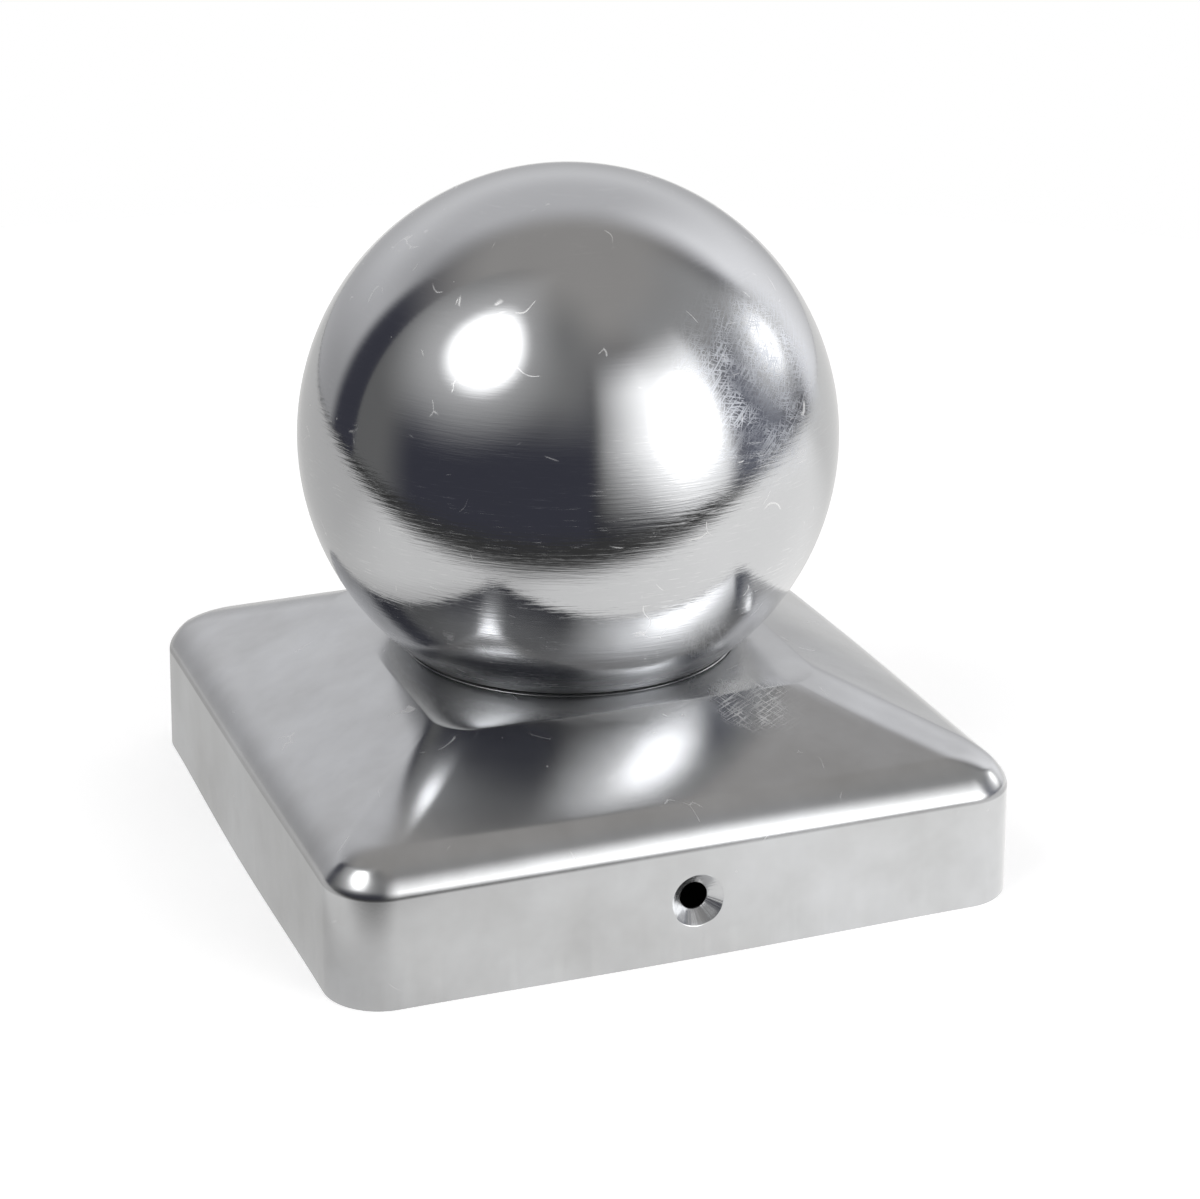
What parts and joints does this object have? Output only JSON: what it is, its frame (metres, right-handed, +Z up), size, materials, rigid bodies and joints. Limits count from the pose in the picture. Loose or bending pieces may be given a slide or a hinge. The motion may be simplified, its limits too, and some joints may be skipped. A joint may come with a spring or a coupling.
{
  "type": "ball post cap",
  "caption": "Square pressed steel cap for a fence post, with a rounded edge, a low four-sided top with soft ridges and a hollow steel ball on a round neck.",
  "frame": {"origin": "centre of the square mouth, on the plane that the skirt's rim stands on", "axes": "+X to the right along the front face, +Y from the front face with the screw hole towards the back, +Z up through the ball"},
  "size_m": [0.094, 0.094, 0.0904],
  "materials": {
    "cap_steel": "pressed and polished, semi-gloss with faint clouding",
    "ball_steel": "polished, glossy with fine turning marks"
  },
  "bodies": {
    "root": {"base_cap": "cap_steel", "ball": "ball_steel"}
  },
  "joints": []
}
